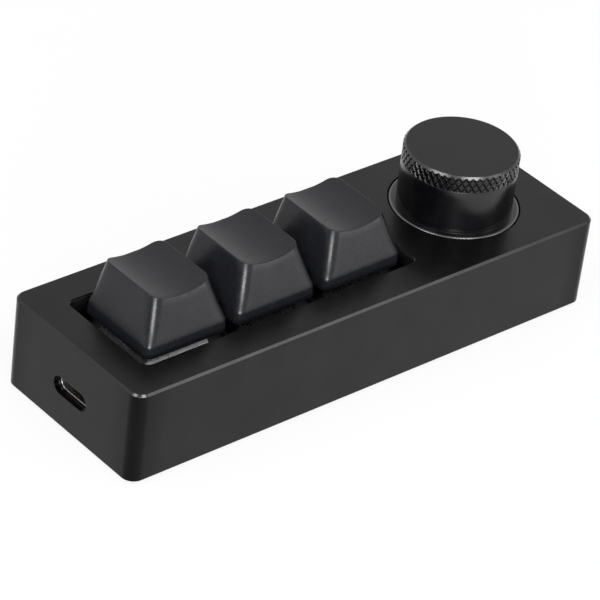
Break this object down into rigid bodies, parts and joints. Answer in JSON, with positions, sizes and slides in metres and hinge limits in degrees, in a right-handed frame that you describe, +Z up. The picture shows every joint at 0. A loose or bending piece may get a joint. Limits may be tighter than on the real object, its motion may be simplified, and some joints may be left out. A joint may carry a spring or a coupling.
{
  "type": "mechanical keypad",
  "caption": "Narrow black metal desk keypad with a row of dished keys that press down, a knurled rotary knob that turns and clicks, and a USB-C socket in one end.",
  "frame": {"origin": "on the table, under the middle of the block", "axes": "+X along the block towards the knob, +Y to the back, +Z up"},
  "size_m": [0.108, 0.0362, 0.0312],
  "materials": {
    "housing": "satin black anodised",
    "cover": "satin black anodised",
    "feet": "matt black",
    "plate": "matt black",
    "board": "dark solder mask",
    "socket_steel": "satin steel",
    "socket_plastic": "black",
    "chip": "matt black",
    "crystal": "satin",
    "capacitor": "ceramic tan",
    "lamp": "milky white",
    "switch_body": "black",
    "switch_clear": "clear, slightly milky",
    "pins": "plated",
    "spring": "bright wire",
    "stem": "satin",
    "keycap": "finely textured black",
    "encoder_plastic": "black",
    "encoder_metal": "satin",
    "knob": "satin black anodised"
  },
  "bodies": {
    "base": {"top_housing": "housing", "bottom_cover": "cover", "rubber_feet": "feet", "switch_plate": "plate", "main_board": "board", "usb_shell": "socket_steel", "usb_tongue": "socket_plastic", "controller_chip": "chip", "board_crystal": "crystal", "capacitors": "capacitor", "key_lamps": "lamp", "encoder_base": "encoder_plastic", "encoder_frame": "encoder_metal", "encoder_terminals": "pins", "push_button": "encoder_plastic", "encoder_nut": "encoder_metal", "switch_base_1": "switch_body", "switch_base_2": "switch_body", "switch_base_3": "switch_body", "switch_cover_1": "switch_clear", "switch_cover_2": "switch_clear", "switch_cover_3": "switch_clear", "switch_pins_1": "pins", "switch_pins_2": "pins", "switch_pins_3": "pins", "switch_spring_1": "spring", "switch_spring_2": "spring", "switch_spring_3": "spring"},
    "key_1": {"keycap_1": "keycap", "switch_stem_1": "stem"},
    "key_2": {"keycap_2": "keycap", "switch_stem_2": "stem"},
    "key_3": {"keycap_3": "keycap", "switch_stem_3": "stem"},
    "rotor": {"encoder_rotor": "encoder_plastic"},
    "knob": {"knob": "knob", "encoder_shaft": "encoder_metal"}
  },
  "joints": [
    {"name": "key_1_press", "type": "slide", "parent": "base", "child": "key_1", "axis": [0, 0, -1], "range_m": [0, 0.004], "stiffness_N_per_m": 75, "springref_m": -0.006, "deforming": ["switch_spring_1"]},
    {"name": "key_2_press", "type": "slide", "parent": "base", "child": "key_2", "axis": [0, 0, -1], "range_m": [0, 0.004], "stiffness_N_per_m": 75, "springref_m": -0.006, "deforming": ["switch_spring_2"]},
    {"name": "key_3_press", "type": "slide", "parent": "base", "child": "key_3", "axis": [0, 0, -1], "range_m": [0, 0.004], "stiffness_N_per_m": 75, "springref_m": -0.006, "deforming": ["switch_spring_3"]},
    {"name": "knob_turn", "type": "hinge", "parent": "base", "child": "rotor", "pos_m": [0.0343, 0, 0], "axis": [0, 0, 1], "continuous": true},
    {"name": "knob_push", "type": "slide", "parent": "rotor", "child": "knob", "axis": [0, 0, -1], "range_m": [0, 0.0005], "stiffness_N_per_m": 4000, "springref_m": -0.0005}
  ]
}
